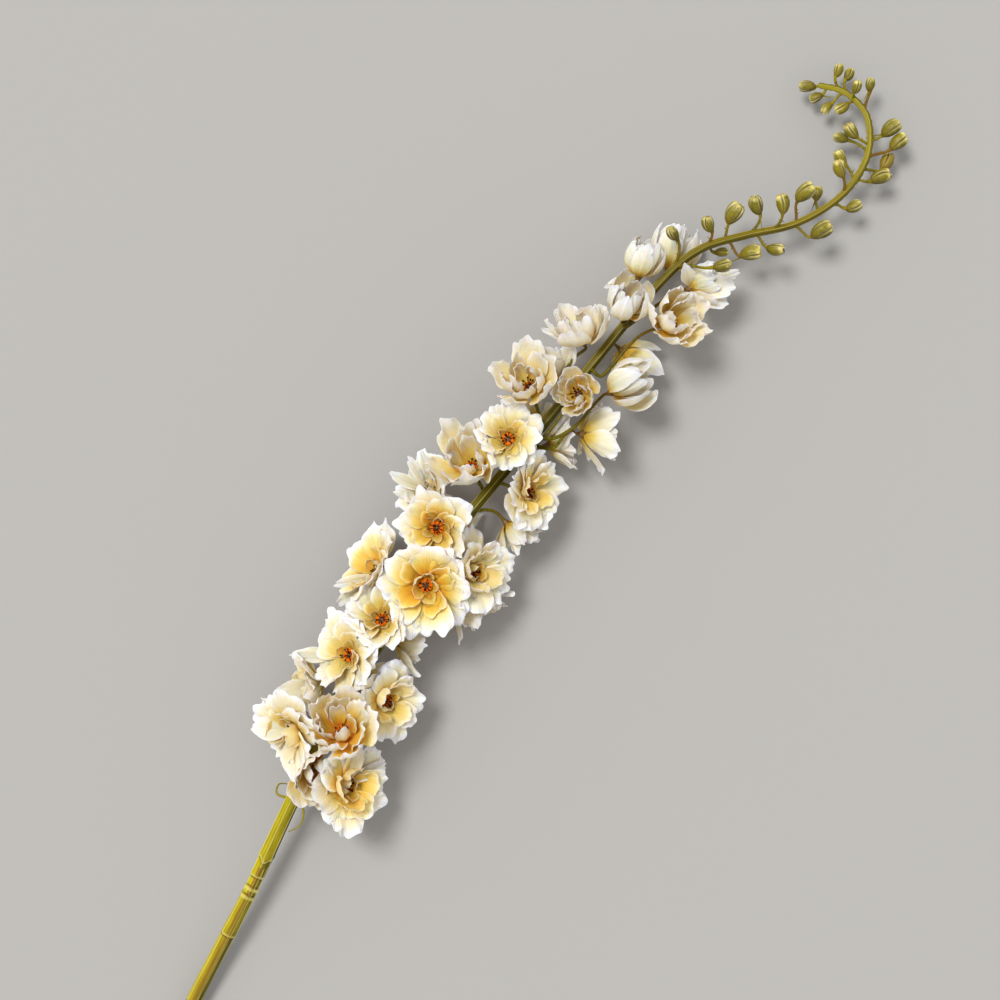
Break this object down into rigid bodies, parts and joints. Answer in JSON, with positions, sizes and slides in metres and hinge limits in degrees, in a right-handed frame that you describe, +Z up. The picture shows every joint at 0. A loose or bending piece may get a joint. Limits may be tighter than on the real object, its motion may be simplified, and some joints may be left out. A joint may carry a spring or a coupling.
{
  "type": "delphinium stem",
  "caption": "Cut stem of double cream blooms on short stalks along its middle, green buds along its curled tip and a bare lower end, laid on its side.",
  "frame": {"origin": "on the surface it lies on, under the middle of its bounding box", "axes": "+X along the stem from the cut end to the curled tip, +Y across it to its left, +Z up from the surface it lies on"},
  "size_m": [0.8136, 0.1338, 0.086],
  "materials": {
    "stem": "satin, moulded and painted olive green",
    "petal": "matte pressed cloth, cream with a warm throat",
    "heart": "matte orange with dark stamens"
  },
  "bodies": {
    "root": {"stem": "stem", "bloom_01": "petal", "bloom_02": "petal", "bloom_03": "petal", "bloom_04": "petal", "bloom_05": "petal", "bloom_06": "petal", "bloom_07": "petal", "bloom_08": "petal", "bloom_09": "petal", "bloom_10": "petal", "bloom_11": "petal", "bloom_12": "petal", "bloom_13": "petal", "bloom_14": "petal", "bloom_15": "petal", "bloom_16": "petal", "bloom_17": "petal", "bloom_18": "petal", "bloom_19": "petal", "bloom_20": "petal", "bloom_21": "petal", "bloom_22": "petal", "bloom_23": "petal", "bloom_24": "petal", "bloom_25": "petal", "bloom_26": "petal", "bloom_27": "petal", "bloom_28": "petal", "bloom_29": "petal", "bloom_30": "petal", "bloom_31": "petal", "bloom_32": "petal", "bloom_33": "petal", "bloom_34": "petal", "bloom_35": "petal", "heart_01": "heart", "heart_02": "heart", "heart_03": "heart", "heart_04": "heart", "heart_05": "heart", "heart_06": "heart", "heart_07": "heart", "heart_09": "heart", "heart_10": "heart", "heart_11": "heart", "heart_13": "heart", "heart_14": "heart", "heart_15": "heart", "heart_17": "heart", "heart_18": "heart", "heart_21": "heart", "heart_28": "heart"}
  },
  "joints": []
}
